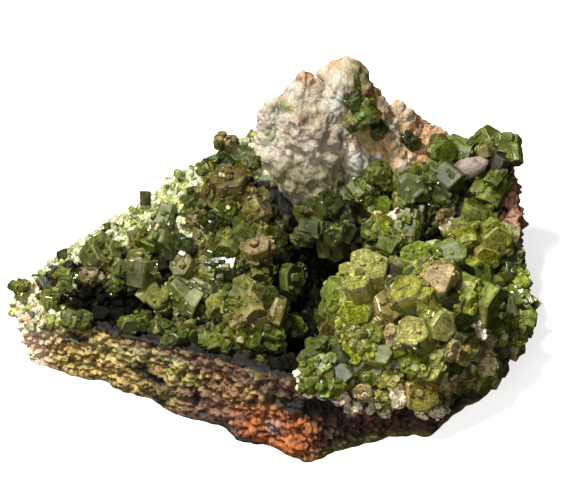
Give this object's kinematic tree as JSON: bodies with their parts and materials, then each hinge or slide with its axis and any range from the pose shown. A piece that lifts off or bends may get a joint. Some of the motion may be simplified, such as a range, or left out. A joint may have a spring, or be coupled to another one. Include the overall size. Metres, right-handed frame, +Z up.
{
  "type": "pyromorphite mineral specimen",
  "caption": "Green hexagonal pyromorphite crystals around a hollow in iron-stained rock, with a white quartz peak; rests on its flat underside.",
  "frame": {"origin": "middle of the bounding box on the flat underside", "axes": "+X along the longest side, towards the ball-like knob of crystals; -Y towards the ledged front wall; +Z up"},
  "size_m": [0.08, 0.053, 0.037],
  "materials": {
    "limonite_rock": "rough ochre and rust-brown ironstone, layered and pitted",
    "granular_quartz": "white to pinkish sugary quartz",
    "pyromorphite": "resinous yellow-green to olive crystals, glossy sides and duller tan ends"
  },
  "bodies": {
    "root": {"matrix_rock": "limonite_rock", "quartz_mass": "granular_quartz", "quartz_nodule": "granular_quartz", "knob_crystals": "pyromorphite", "hollow_crystals": "pyromorphite", "left_ledge_crystals": "pyromorphite", "ridge_crystals": "pyromorphite", "back_shelf_crystals": "pyromorphite", "right_flank_crystals": "pyromorphite", "front_rim_crystals": "pyromorphite"}
  },
  "joints": []
}
